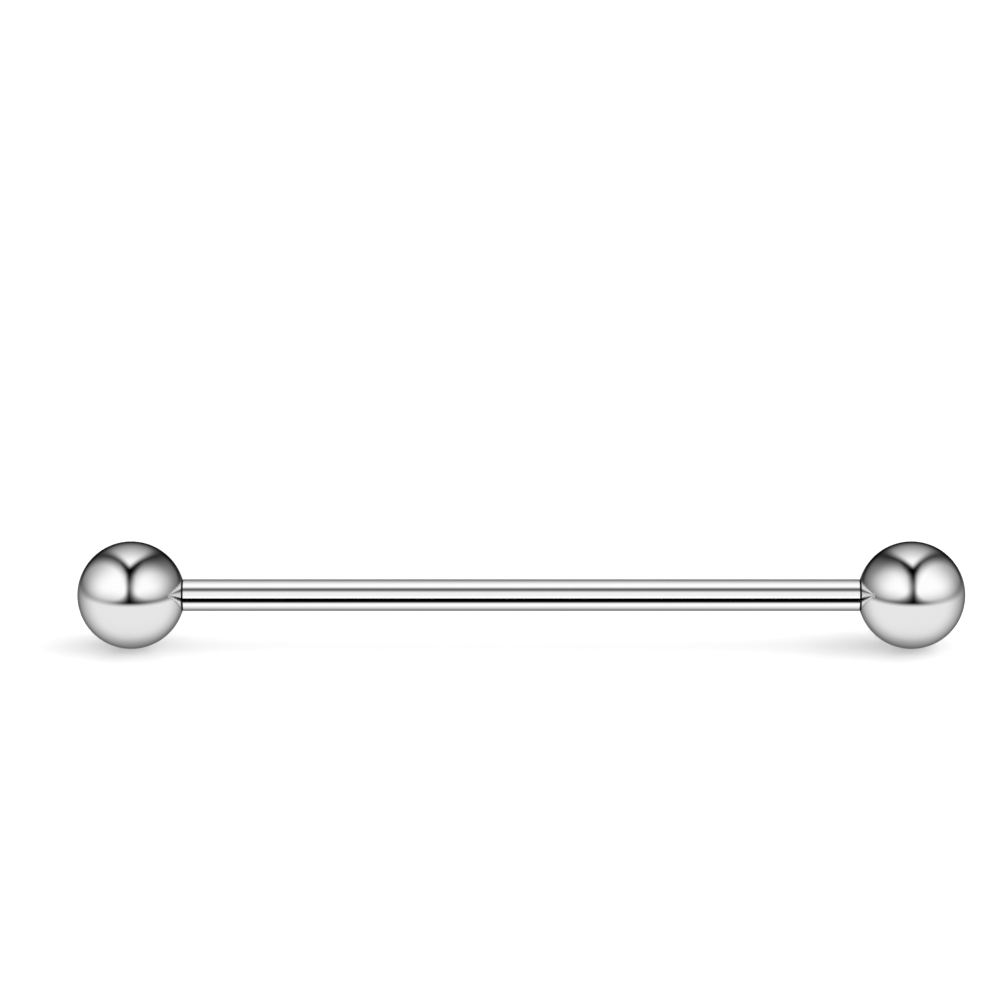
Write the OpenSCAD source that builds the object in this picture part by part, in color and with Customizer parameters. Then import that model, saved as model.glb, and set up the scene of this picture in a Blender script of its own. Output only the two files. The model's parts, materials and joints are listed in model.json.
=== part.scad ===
/* [Bar] */
// Diameter of the smooth bar, the 14 gauge of body jewellery
bar_d = 1.6; // [1.2:0.1:2]
// Length of bar that shows between the two balls
bar_len = 34; // [28:0.5:42]
// Chamfer on each shoulder of the bar, where it meets a ball
shoulder_chamfer = 0.03; // [0.01:0.01:0.06]

/* [Balls] */
// Diameter of each ball
ball_d = 5.4; // [5:0.1:8]

/* [Screw ends] */
// How much smaller in radius a screw end is than the bar, at the middle of its thread
thread_step = 0.18; // [0.16:0.01:0.24]
// Length of each screw end
thread_len = 2.5; // [1.5:0.1:3]
// Chamfer on the tip of each screw end
tip_chamfer = 0.15; // [0.05:0.01:0.25]

/* [Fits] */
// Gap between a shoulder of the bar and the flat of its ball
seat_gap = 0.02; // [0.01:0.01:0.05]
// Gap all round a screw end in its bore
bore_gap = 0.02; // [0.01:0.01:0.05]
// Room left past the tip of a screw end
tip_room = 0.3; // [0.1:0.05:0.5]
// Countersink at the mouth of each bore
mouth_chamfer = 0.04; // [0.01:0.01:0.04]

/* [Hidden] */
$fn = 96;

bar_r = bar_d / 2;
ball_r = ball_d / 2;
stub_r = bar_r - thread_step;
bore_r = stub_r + bore_gap;

// Distances along the bar from its middle
flat_x = bar_len / 2;
shoulder_x = flat_x - seat_gap;
tip_x = shoulder_x + thread_len;

// The flat of a ball is as wide as the bar, which puts it this far from the ball's centre
flat_from_centre = sqrt(ball_r * ball_r - bar_r * bar_r);
ball_x = flat_x + flat_from_centre;
bore_end_x = tip_x + tip_room;

// Cutting tools run this far past the face that they cut
overcut = 1;

// One end of the bar as [radius, distance along the bar], from the shoulder out to the tip
bar_end = [
    [bar_r, shoulder_x - shoulder_chamfer],
    [bar_r - shoulder_chamfer, shoulder_x],
    [stub_r, shoulder_x],
    [stub_r, tip_x - tip_chamfer],
    [stub_r - tip_chamfer, tip_x],
    [0, tip_x]
];
bar_outline = concat(
    bar_end,
    [for (i = [len(bar_end) - 1:-1:0]) [bar_end[i][0], -bar_end[i][1]]]
);

// Lays what is built along Z along X, at the height of the balls' centres above the floor
module lay_down() {
    translate([0, 0, ball_r])
        rotate([0, 90, 0])
            children();
}

// A ball on the bar's far end, still upright: it is cut flat and bored from the side of the bar
module upright_ball() {
    difference() {
        translate([0, 0, ball_x])
            sphere(r = ball_r);
        translate([0, 0, flat_x - overcut])
            cylinder(r = ball_r, h = overcut);
        translate([0, 0, flat_x - overcut])
            cylinder(r = bore_r, h = bore_end_x - flat_x + overcut);
        translate([0, 0, flat_x])
            cylinder(r1 = bore_r + mouth_chamfer, r2 = bore_r, h = mouth_chamfer);
    }
}

module bar() {
    color("silver")
        lay_down()
            rotate_extrude()
                polygon(bar_outline);
}

module left_ball() {
    color("gainsboro")
        mirror([1, 0, 0])
            lay_down()
                upright_ball();
}

module right_ball() {
    color("gainsboro")
        lay_down()
            upright_ball();
}

bar();
left_ball();
right_ball();
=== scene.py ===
import json
import math

import bpy
import numpy as np
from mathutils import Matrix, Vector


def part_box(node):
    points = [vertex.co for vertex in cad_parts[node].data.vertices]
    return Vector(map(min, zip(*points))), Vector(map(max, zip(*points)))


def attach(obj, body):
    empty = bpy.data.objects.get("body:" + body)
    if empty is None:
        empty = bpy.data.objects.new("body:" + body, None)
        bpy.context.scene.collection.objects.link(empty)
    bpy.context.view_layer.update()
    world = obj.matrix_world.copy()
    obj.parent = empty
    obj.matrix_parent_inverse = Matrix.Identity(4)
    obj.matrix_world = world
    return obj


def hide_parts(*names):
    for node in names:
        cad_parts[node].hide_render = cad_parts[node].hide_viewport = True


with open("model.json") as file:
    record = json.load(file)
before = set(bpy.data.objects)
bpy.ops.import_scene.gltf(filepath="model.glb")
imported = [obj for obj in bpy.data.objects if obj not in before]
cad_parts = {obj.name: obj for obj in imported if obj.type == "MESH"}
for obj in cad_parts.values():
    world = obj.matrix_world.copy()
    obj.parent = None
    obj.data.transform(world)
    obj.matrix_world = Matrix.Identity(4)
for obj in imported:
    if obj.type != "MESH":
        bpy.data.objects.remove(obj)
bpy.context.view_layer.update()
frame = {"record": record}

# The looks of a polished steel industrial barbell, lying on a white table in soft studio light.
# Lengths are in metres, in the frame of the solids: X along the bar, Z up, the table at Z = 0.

MM = 1e-3
MICRON = 1e-6

# Sizes read from the solids
shaft = frame["record"]["mounts"][0]
BAR_R = shaft["dims"]["r_mm"] * MM
AXIS_Z = shaft["pos_m"][2]
SHAFT_END = shaft["dims"]["length_mm"] * MM / 2
BALL_R = AXIS_Z
FLAT_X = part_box("right_ball")[0][0]
BALL_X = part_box("right_ball")[1][0] - BALL_R
TIP_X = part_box("bar")[1][0]

# The shoulder stops short of the ball's flat, and its corner is a quarter round
SEAT_GAP = 0.02 * MM
SHOULDER_X = FLAT_X - SEAT_GAP
SHOULDER_R = SHOULDER_X - SHAFT_END
# Round lip between the flat and the sphere of a ball
LIP_R = 0.10 * MM

# The middle of the seam, how far from it the painted shade in the seam stays fully dark and where it has
# faded out, and how far from it the steel is out of the buffing wheel's reach
SEAM_X = FLAT_X + 0.004 * MM
SEAM_SHADE_FULL = 0.024 * MM
SEAM_SHADE_ENDS = 0.056 * MM
UNBUFFED = 0.9 * MM

# The thread, its gap in the bore, and the plain groove and run-out next to the shoulder
THREAD_PITCH = 0.35 * MM
THREAD_CREST_R = 0.735 * MM
THREAD_ROOT_R = 0.530 * MM
THREAD_GAP = 0.02 * MM
THREAD_RELIEF = 0.12 * MM
THREAD_FADE = 0.15 * MM
# The thread's wave, from 0 to 1, is flat at the root up to the first share and at the crest from the
# second one
ROOT_SHARE = 0.25
CREST_SHARE = 0.875

# The cone of the tip: its end, and how much wider it gets for each length back from there
TIP_R = 0.45 * MM
TIP_SLOPE = 1.2

# The bore's countersunk mouth and its end, a shallow cone
MOUTH_R = 0.765 * MM
BORE_END_X = TIP_X + 0.25 * MM
DRILL_DEPTH = 0.1 * MM

# Numbers of the finishes on a piece; the third paints the shade in the seam near black
POLISHED, THREADED, PAINTED_SEAM = 0, 1, 2


def smooth_ramp(value, low, high):
    """0 below low, 1 above high, and 3t^2 - 2t^3 of the share t of the way between them."""
    t = np.clip((value - low) / (high - low), 0, 1)
    return t * t * (3 - 2 * t)


# Shapes

# Points round each piece, and rows along each stretch of its profile
AROUND_BAR = 128
AROUND_BALL = 192
SHAFT_ROWS = 34
CORNER_ROWS = 9
THREAD_ROWS = 112
LIP_ROWS = 5
SPHERE_ROWS = 124
# The last row of the plain shaft lies this far before the corner
BEFORE_CORNER = 0.1 * MM
# Edges that turn by more than this are shaded sharp
SHARP_EDGE = math.radians(40)


def closed_mesh(name, grid, first, last):
    """A mesh from rows of points that each close round, with a pole before them and one after them.

    Face (i, j) joins points j and j + 1 of row i to the same two of row i + 1, and each pole is
    joined to its row by triangles.
    """
    rows, around = grid.shape[:2]
    points = np.vstack([grid.reshape(-1, 3), first, last])
    i, j = np.meshgrid(np.arange(rows - 1), np.arange(around), indexing="ij")
    k = (j + 1) % around
    row, next_row = i * around, (i + 1) * around
    quads = np.stack([row + j, row + k, next_row + k, next_row + j], axis=-1)
    j, k = j[0], k[0]
    end = (rows - 1) * around
    front_fan = np.stack([np.full(around, rows * around), k, j], axis=-1)
    back_fan = np.stack([np.full(around, rows * around + 1), end + j, end + k], axis=-1)
    mesh = bpy.data.meshes.new(name)
    faces = front_fan.tolist() + quads.reshape(-1, 4).tolist() + back_fan.tolist()
    mesh.from_pydata(points.tolist(), [], faces)
    return mesh


def turned_surface(name, along, radius, finish):
    """A closed surface turned about the bar's axis.

    along gives the distance of each row along the axis, and radius its radius at each turn angle:
    the point is (along, radius cos turn, AXIS_Z + radius sin turn). The first and the last of along
    are the poles. Rows run so that the outside is on the left of the profile, and finish numbers
    the material of the band of faces between each row and the next.
    """
    around = radius.shape[1]
    turn = np.arange(around) * 2 * np.pi / around
    row_x = np.repeat(along[1:-1, None], around, axis=1)
    grid = np.stack([row_x, radius * np.cos(turn), AXIS_Z + radius * np.sin(turn)], axis=-1)
    mesh = closed_mesh(name, grid, [along[0], 0, AXIS_Z], [along[-1], 0, AXIS_Z])
    mesh.polygons.foreach_set("material_index", np.repeat(finish, around).astype(np.int32))
    mesh.polygons.foreach_set("use_smooth", np.ones(len(mesh.polygons), dtype=bool))
    mesh.set_sharp_from_angle(angle=SHARP_EDGE)
    mesh.update()
    piece = bpy.data.objects.new(name, mesh)
    bpy.context.scene.collection.objects.link(piece)
    return piece


def thread_radius(along, around):
    """Radius of a right-hand thread at distances along the axis, for a number of turn angles.

    A point lies at the share along / pitch - turn / 360 degrees of a groove. The height is a
    triangle wave of that share, flattened by a smooth ramp at the crest and at the root.
    """
    turn = np.arange(around) * 2 * np.pi / around
    share = (along[:, None] / THREAD_PITCH - turn / (2 * np.pi)) % 1
    height = smooth_ramp(np.abs(2 * share - 1), ROOT_SHARE, CREST_SHARE)
    return THREAD_ROOT_R + (THREAD_CREST_R - THREAD_ROOT_R) * height


def make_bar():
    """The shaft with a threaded screw end on each side.

    Each end of the shaft is a quarter round of radius SHOULDER_R. Past it the radius is the
    thread's, faded in from a plain relief groove, and never more than the cone of the tip.
    """
    shaft_x = np.linspace(0, SHAFT_END - BEFORE_CORNER, SHAFT_ROWS)
    corner = np.linspace(0, np.pi / 2, CORNER_ROWS)
    corner_x = SHAFT_END + SHOULDER_R * np.sin(corner)
    corner_r = BAR_R - SHOULDER_R + SHOULDER_R * np.cos(corner)
    screw_x = np.linspace(SHOULDER_X, TIP_X, THREAD_ROWS)
    cone_r = TIP_R + (TIP_X - screw_x) * TIP_SLOPE
    half_x = np.concatenate([shaft_x, corner_x, screw_x])
    half_most = np.concatenate([np.full(SHAFT_ROWS, BAR_R), corner_r, cone_r])
    half_screw = np.arange(len(half_x)) >= len(half_x) - THREAD_ROWS
    x = np.concatenate([-half_x[:0:-1], half_x])
    most = np.concatenate([half_most[:0:-1], half_most])[:, None]
    screw = np.concatenate([half_screw[:0:-1], half_screw])[:, None]
    fade = smooth_ramp(np.abs(x) - SHOULDER_X, THREAD_RELIEF, THREAD_RELIEF + THREAD_FADE)[:, None]
    thread = THREAD_ROOT_R + (thread_radius(x, AROUND_BAR) - THREAD_ROOT_R) * fade
    radius = np.where(screw, np.minimum(thread, most), most)
    along = np.concatenate([[-TIP_X], x, [TIP_X]])
    middle = np.abs(along[:-1] + along[1:]) / 2
    # The shoulder's round and face take the near-black painted shade of the seam
    finish = np.where(middle < SHAFT_END, POLISHED, np.where(middle > SHOULDER_X, THREADED, PAINTED_SEAM))
    return turned_surface("polished_bar", along, radius, finish)


def make_ball(name, side):
    """A ball on the side -1 or 1 of the bar.

    The profile runs from the bore's end along its threaded wall to the countersunk mouth, over the
    flat, round a lip that touches both the flat and the sphere, and round the sphere to the far pole.
    """
    bore_x = np.linspace(BORE_END_X - DRILL_DEPTH, FLAT_X, THREAD_ROWS)
    bore_r = thread_radius(side * bore_x, AROUND_BALL) + THREAD_GAP
    bore_r = np.maximum(bore_r, MOUTH_R - (bore_x - FLAT_X)[:, None])
    lip_depth = BALL_X - FLAT_X - LIP_R
    lip_centre_r = math.sqrt((BALL_R - LIP_R) ** 2 - lip_depth ** 2)
    lip_end = math.acos(lip_depth / (BALL_R - LIP_R))
    lip = np.linspace(0, lip_end, LIP_ROWS)
    sphere = np.linspace(lip_end, np.pi, SPHERE_ROWS)[1:]
    lip_x = BALL_X - lip_depth - LIP_R * np.cos(lip)
    outer_x = np.concatenate([lip_x, BALL_X - BALL_R * np.cos(sphere)])
    outer_r = np.concatenate([lip_centre_r + LIP_R * np.sin(lip), BALL_R * np.sin(sphere)])[:-1]
    along = np.concatenate([[BORE_END_X], bore_x, outer_x])
    radius = np.vstack([bore_r, np.repeat(outer_r[:, None], AROUND_BALL, axis=1)])
    row = np.arange(len(along) - 1)
    # The lip takes the near-black painted shade of the seam
    outside = np.where(row < THREAD_ROWS + LIP_ROWS, PAINTED_SEAM, POLISHED)
    finish = np.where(row <= THREAD_ROWS, THREADED, outside)
    if side < 0:
        along, radius, finish = -along[::-1], radius[::-1], finish[::-1]
    return turned_surface(name, along, radius, finish)


# Finishes

# Size of the smears and of the soft waves, and the stretch of the smears' noise that tells
SMEAR_SIZE = 1.4 * MM
WAVE_SIZE = 0.9 * MM
SMEAR_LOW, SMEAR_HIGH = 0.35, 0.7


def from_hex(colour):
    """Linear red, green, blue and alpha of an sRGB hex colour."""
    parts = np.array([int(colour[i:i + 2], 16) for i in (1, 3, 5)]) / 255
    linear = np.where(parts <= 0.04045, parts / 12.92, ((parts + 0.055) / 1.055) ** 2.4)
    return (*linear.tolist(), 1.0)


def add_node(tree, kind, inputs=None, output=0, **settings):
    """Adds a node with its settings, links or sets the inputs that are named, and returns an output."""
    made = tree.nodes.new(kind)
    for name, value in settings.items():
        setattr(made, name, value)
    for name, value in (inputs or {}).items():
        if isinstance(value, bpy.types.NodeSocket):
            tree.links.new(value, made.inputs[name])
        else:
            made.inputs[name].default_value = value
    return made.outputs[output] if made.outputs else None


def new_material(name):
    """An empty material, and its node tree."""
    made = bpy.data.materials.new(name)
    made.use_nodes = True
    made.node_tree.nodes.clear()
    return made, made.node_tree


def steel(
    name, dull, bright, roughness, spread, hair_mm, hair_height, wave_height, seam_shade, unbuffed=0.0
):
    """Stainless steel: hairlines and soft waves lift the surface, and faint smears change its gloss.

    dull and bright are its colours, and spread is how far the smears raise the roughness. hair_mm
    is the size of a hairline along X, Y and Z in millimetres, and the two heights are in metres.
    Beside the seam the steel is painted with its last colour as shade, and unbuffed is how much rougher
    it gets towards it.
    """
    made, tree = new_material(name)
    place = add_node(tree, "ShaderNodeTexCoord", output="Object")
    along = add_node(tree, "ShaderNodeSeparateXYZ", {"Vector": place}, output="X")
    along = add_node(tree, "ShaderNodeMath", {0: along}, operation="ABSOLUTE")
    from_seam = add_node(tree, "ShaderNodeMath", {0: along, 1: SEAM_X}, operation="SUBTRACT")
    from_seam = add_node(tree, "ShaderNodeMath", {0: from_seam}, operation="ABSOLUTE")
    smears = add_node(
        tree, "ShaderNodeTexNoise", {"Vector": place, "Scale": 1 / SMEAR_SIZE, "Detail": 3.0}
    )
    rough = add_node(
        tree, "ShaderNodeMapRange",
        {
            "Value": smears, "From Min": SMEAR_LOW, "From Max": SMEAR_HIGH,
            "To Min": roughness, "To Max": roughness + spread,
        },
    )
    rougher = add_node(
        tree, "ShaderNodeMapRange",
        {"Value": from_seam, "From Max": UNBUFFED, "To Min": unbuffed, "To Max": 0.0},
        interpolation_type="SMOOTHSTEP",
    )
    rough = add_node(tree, "ShaderNodeMath", {0: rough, 1: rougher}, operation="ADD")
    hairs_per_m = tuple(1 / (size * MM) for size in hair_mm)
    stretched = add_node(tree, "ShaderNodeMapping", {"Vector": place, "Scale": hairs_per_m})
    hairs = add_node(tree, "ShaderNodeTexNoise", {"Vector": stretched, "Scale": 1.0, "Detail": 2.0})
    waves = add_node(
        tree, "ShaderNodeTexNoise", {"Vector": place, "Scale": 1 / WAVE_SIZE, "Detail": 1.0}
    )
    lifted = add_node(tree, "ShaderNodeBump", {"Height": hairs, "Distance": hair_height})
    lifted = add_node(
        tree, "ShaderNodeBump", {"Height": waves, "Distance": wave_height, "Normal": lifted}
    )
    tint = add_node(
        tree, "ShaderNodeMix",
        {0: smears, 6: from_hex(dull), 7: from_hex(bright)}, output=2, data_type="RGBA",
    )
    # Painted shade in the seam: the shade colour there, fading to the steel's own colour further out
    seam_unshaded = add_node(
        tree, "ShaderNodeMapRange",
        {"Value": from_seam, "From Min": SEAM_SHADE_FULL, "From Max": SEAM_SHADE_ENDS},
        interpolation_type="SMOOTHSTEP",
    )
    tint = add_node(
        tree, "ShaderNodeMix",
        {0: seam_unshaded, 6: from_hex(seam_shade), 7: tint}, output=2, data_type="RGBA",
    )
    shader = add_node(
        tree, "ShaderNodeBsdfPrincipled",
        {"Base Color": tint, "Metallic": 1.0, "Roughness": rough, "Normal": lifted},
    )
    add_node(tree, "ShaderNodeOutputMaterial", {"Surface": shader})
    return made


# Tumbled and buffed to a mirror, with the faintest swirls, and a little softer where the wheel
# can't reach, with painted shade, near black, in the seam by the bar
ball_finish = steel(
    "mirror_polished_steel", dull="#D8D8D8", bright="#DCDCDC", roughness=0.02, spread=0.04,
    hair_mm=(1 / 25, 1 / 3, 1 / 25), hair_height=0.02 * MICRON, wave_height=0.1 * MICRON,
    seam_shade="#0A0A0A", unbuffed=0.12,
)
# Ground to size and buffed while it turned, which leaves hairlines round the bar, with painted shade,
# near black, at the seams
bar_finish = steel(
    "drawn_polished_steel", dull="#D8D8D8", bright="#DCDCDC", roughness=0.03, spread=0.04,
    hair_mm=(1 / 20, 20 / 3, 20 / 3), hair_height=0.02 * MICRON, wave_height=0.05 * MICRON,
    seam_shade="#0A0A0A",
)
# Cut threads, greyer than a mirror because they scatter, and painted a darker grey near the seam as shade
thread_finish = steel(
    "cut_thread_steel", dull="#B4B4B5", bright="#C6C6C7", roughness=0.2, spread=0.1,
    hair_mm=(1 / 40, 1 / 3, 1 / 3), hair_height=0.4 * MICRON, wave_height=0.1 * MICRON,
    seam_shade="#8C8C8C",
)
# The bar's shoulder and the ball's lip, where ball and bar meet, rougher and painted near black as the
# shade in the seam
painted_seam_finish = steel(
    "painted_seam_shade", dull="#0C0C0C", bright="#1C1C1C", roughness=0.45, spread=0.15,
    hair_mm=(1 / 40, 1 / 3, 1 / 3), hair_height=0.2 * MICRON, wave_height=0.1 * MICRON,
    seam_shade="#0A0A0A",
)

bar = make_bar()
left_ball = make_ball("polished_left_ball", -1)
right_ball = make_ball("polished_right_ball", 1)
for piece, node, finish, slot in (
    (bar, "bar", bar_finish, "bar_steel"),
    (left_ball, "left_ball", ball_finish, "ball_steel"),
    (right_ball, "right_ball", ball_finish, "ball_steel"),
):
    for material in (finish, thread_finish, painted_seam_finish):
        piece.data.materials.append(material)
    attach(piece, node)
    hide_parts(node)


# Camera

# The frame, the size of its pixels at the bar, and where the bar's middle stands in it, counted
# right and down from its corner
FRAME_PX = 1000
MM_PER_PX = 0.05019
BAR_MIDDLE_PX = (521.3, 595.1)
# The camera looks down at the bar by this angle
CAMERA_DOWN = math.radians(14.5)
CAMERA_AWAY = 280 * MM
SENSOR_MM = 36

camera = bpy.data.objects.new("camera", bpy.data.cameras.new("camera"))
bpy.context.scene.collection.objects.link(camera)
rightward = np.array([1, 0, 0])
forward = np.array([0, math.cos(CAMERA_DOWN), -math.sin(CAMERA_DOWN)])
upward = np.array([0, math.sin(CAMERA_DOWN), math.cos(CAMERA_DOWN)])
right_by = (BAR_MIDDLE_PX[0] - FRAME_PX / 2) * MM_PER_PX * MM
down_by = (BAR_MIDDLE_PX[1] - FRAME_PX / 2) * MM_PER_PX * MM
looked_at = np.array([0, 0, AXIS_Z]) - right_by * rightward + down_by * upward
camera.location = looked_at - CAMERA_AWAY * forward
camera.rotation_euler = (math.pi / 2 - CAMERA_DOWN, 0, 0)
camera.data.sensor_width = SENSOR_MM
camera.data.lens = SENSOR_MM * CAMERA_AWAY / (FRAME_PX * MM_PER_PX * MM)
camera.data.clip_start = 0.01
camera.data.clip_end = 5
bpy.context.scene.camera = camera


# Studio

# In what the balls see, the gap between the front sheets stands this far out along the bar. Its
# waist and the corner where all the sheets meet stand at these heights in front, and the room is
# darkest this far below the horizon at the back, all in degrees.
GAP_OUT = 0.015
WAIST_UP = 34.5
CORNER_UP = 70
DARKEST_DOWN = 14.5

# Brightness of the front sheets, the top sheet, the table and the bar's cards at their brightest
SHEETS_GLOW = 1.4
TOP_GLOW = 1.32
TABLE_GLOW = 1.125
CARDS_GLOW = 1.41


def degrees_of(sine):
    """Angle in degrees that has a sine."""
    return np.degrees(np.arcsin(np.clip(sine, -1, 1)))


def gap_light(out, height):
    """Share of light at the narrow dark gap between the front sheets, up to 1 beside it.

    Its half width is least at the waist, where some light comes through, and grows with powers of
    the height below and above it. It is wider on the side of the bar.
    """
    below = np.clip(WAIST_UP - height, 0, None) / 30
    above = np.clip(height - WAIST_UP, 0, None) / 30
    wide = np.minimum(0.11 + 0.21 * below ** 3.5 + 0.03 * above ** 5.5, 0.6)
    wide = wide * np.where(out < GAP_OUT, 1.21, 0.79)
    light = smooth_ramp(np.abs(out - GAP_OUT), 0, 2 * wide)
    return light + (1 - light) * 0.28 * np.exp(-((height - WAIST_UP) / 17) ** 2)


def sheet_light(out, back, z, height):
    """Brightness of the two front sheets, and of the top sheet behind them.

    Their upper edges run back in a V, and past_v is how many degrees a direction lies beyond it.
    The front sheets have a soft shade below the V and get darker towards their foot and the back,
    and the top sheet is brightest overhead. All meet in a dark corner.
    """
    past_v = 0.63 * (back + 0.44 * z - (0.46 - 0.34 * out) * back ** 3) - np.abs(out - GAP_OUT)
    past_v = degrees_of(past_v / 1.21)
    below_v = smooth_ramp(-past_v, -6.4, 25.4 - 12.5 * out)
    above_v = smooth_ramp(past_v, 0, 12.6)
    foot = 1 - np.clip((27 - 2.5 * out - height) / 38, 0, 1) ** 2
    towards_back = 1 - 0.65 * smooth_ramp(back - 0.08 * out, -0.6, 0.68)
    front = SHEETS_GLOW * towards_back * foot * gap_light(out, height) * below_v
    top = TOP_GLOW * np.clip((height - 3.6) / 80, 0, 1) ** 1.27 * above_v
    corner = math.radians(CORNER_UP)
    from_corner = 90 - degrees_of(z * math.sin(corner) - back * math.cos(corner))
    return (front + top) * (1 - np.exp(-(from_corner / 8) ** 2))


def table_light(out, back):
    """Brightness of the white table, which is darker at the back and where the ball's own shadow lies."""
    own_shadow = 1 - 0.45 * np.exp(-(out ** 2 + (back - 0.49) ** 2) / 0.54 ** 2)
    return TABLE_GLOW * (1 - smooth_ramp(back + 0.1 * out, -0.2, 1.44)) * own_shadow


def ball_studio(out, back, z):
    """Brightness that a ball sees in a direction out along the bar, back and up.

    White sheets stand on a white table, with a faint dark line at their foot, and all of it is
    darker in a wide patch at the back.
    """
    height = degrees_of(z)
    on_table = 1 - smooth_ramp(height, -11.7, -1)
    lit = table_light(out, back) * on_table + sheet_light(out, back, z, height) * (1 - on_table)
    line = 1 - 0.24 * np.exp(-((height + 0.8) / 2.7) ** 2 - ((out - GAP_OUT) / 0.79) ** 2)
    down = math.radians(DARKEST_DOWN)
    behind = back * math.cos(down) - z * math.sin(down)
    return lit * line * (1 - 0.26 * smooth_ramp(behind, 0.69, 0.9))


def bar_studio(out, back, z):
    """Brightness that the bar sees from long cards beside it, which is the same all along it.

    The height of a direction is its angle over the front, round the bar. A black gap lies low in
    front and a soft one high in front, the card between them is a little darker, and the light
    falls off round the back.
    """
    height = np.degrees(np.arctan2(z, -back))
    low_gap = smooth_ramp(height, -9.4, -6.4) + smooth_ramp(-height, 32.9, 54.4)
    high_gap = 0.115 + 0.885 * smooth_ramp(np.abs(height - 55.4), 2, 26)
    between = 1 - 0.11 * smooth_ramp(height, 8, 8.5) * (1 - smooth_ramp(height, 36, 56))
    around_back = 1 - 0.8 * smooth_ramp(np.abs(height - 15), 75, 142)
    return CARDS_GLOW * low_gap * high_gap * between * around_back


def dome(name, radius, brightness, side, receiver):
    """A sphere of light round the object that only the receiver reflects, and that nothing else sees.

    A point at longitude a and latitude b is radius (sin a cos b, -cos a cos b, sin b). Its brightness
    comes from that direction, mirrored for the left side, and is kept in the attribute glow.
    """
    a, b = np.meshgrid(np.radians(np.arange(360)), np.radians(np.arange(-89.5, 90)))
    way = np.stack([np.sin(a) * np.cos(b), -np.cos(a) * np.cos(b), np.sin(b)], axis=-1)
    mesh = closed_mesh(name, way * radius, [0, 0, -radius], [0, 0, radius])
    out, back, z = np.vstack([way.reshape(-1, 3), [[0, 0, -1], [0, 0, 1]]]).T
    glow = mesh.attributes.new("glow", "FLOAT", "POINT")
    glow.data.foreach_set("value", brightness(out * side, back, z).astype(np.float32))
    light, tree = new_material(name)
    value = add_node(tree, "ShaderNodeAttribute", output="Fac", attribute_name="glow")
    glowing = add_node(tree, "ShaderNodeEmission", {"Strength": value})
    clear = add_node(tree, "ShaderNodeBsdfTransparent")
    both = add_node(tree, "ShaderNodeAddShader", {0: glowing, 1: clear})
    add_node(tree, "ShaderNodeOutputMaterial", {"Surface": both})
    light.cycles.emission_sampling = "NONE"
    mesh.materials.append(light)
    made = bpy.data.objects.new(name, mesh)
    bpy.context.scene.collection.objects.link(made)
    made.visible_camera = False
    made.visible_diffuse = False
    made.visible_shadow = False
    made.visible_transmission = False
    made.light_linking.receiver_collection = bpy.data.collections.new(name)
    made.light_linking.receiver_collection.objects.link(receiver)


# Each dome is a little wider than the one inside it, so that no two of their surfaces meet
DOME_R = 10.0
dome("left_ball_dome", DOME_R, ball_studio, -1, left_ball)
dome("right_ball_dome", 1.1 * DOME_R, ball_studio, 1, right_ball)
dome("bar_dome", 1.2 * DOME_R, bar_studio, 1, bar)

# The table is wide enough to fill the view from any side, and the steel sees only its dome's table
HALF_TABLE = 2.0
corners = [(HALF_TABLE * x, HALF_TABLE * y, 0) for x, y in ((-1, -1), (1, -1), (1, 1), (-1, 1))]
table_mesh = bpy.data.meshes.new("table")
table_mesh.from_pydata(corners, [], [(0, 1, 2, 3)])
table = bpy.data.objects.new("table", table_mesh)
bpy.context.scene.collection.objects.link(table)
table.visible_glossy = False
# Matt white paint, plain and without gloss, which takes the soft shadows
paint, paint_tree = new_material("white_matt_table")
matt = add_node(paint_tree, "ShaderNodeBsdfDiffuse", {"Color": (0.8, 0.8, 0.8, 1.0)})
add_node(paint_tree, "ShaderNodeOutputMaterial", {"Surface": matt})
table_mesh.materials.append(paint)

ROOM_LIGHT = 1.06
world = bpy.data.worlds.new("white_room")
bpy.context.scene.world = world
world.use_nodes = True
world.node_tree.nodes["Background"].inputs["Color"].default_value = (1, 1, 1, 1)
world.node_tree.nodes["Background"].inputs["Strength"].default_value = ROOM_LIGHT
world.cycles_visibility.glossy = False


def soft_sun(name, strength, wide, high, heading):
    """A distant light like a large softbox, which the steel does not reflect.

    wide is how wide it looks and high is how high it stands, and heading turns it from +X towards +Y,
    all in degrees.
    """
    sun = bpy.data.objects.new(name, bpy.data.lights.new(name, "SUN"))
    bpy.context.scene.collection.objects.link(sun)
    sun.data.energy = strength
    sun.data.angle = math.radians(wide)
    sun.rotation_euler = (0, math.radians(90 - high), math.radians(heading))
    sun.visible_glossy = False


soft_sun("right_softbox", strength=2.78, wide=90, high=15, heading=0)
soft_sun("back_softbox", strength=1.29, wide=15, high=10, heading=90)
soft_sun("front_softbox", strength=2.3, wide=15, high=10, heading=-90)

bpy.context.scene.view_settings.view_transform = "Standard"
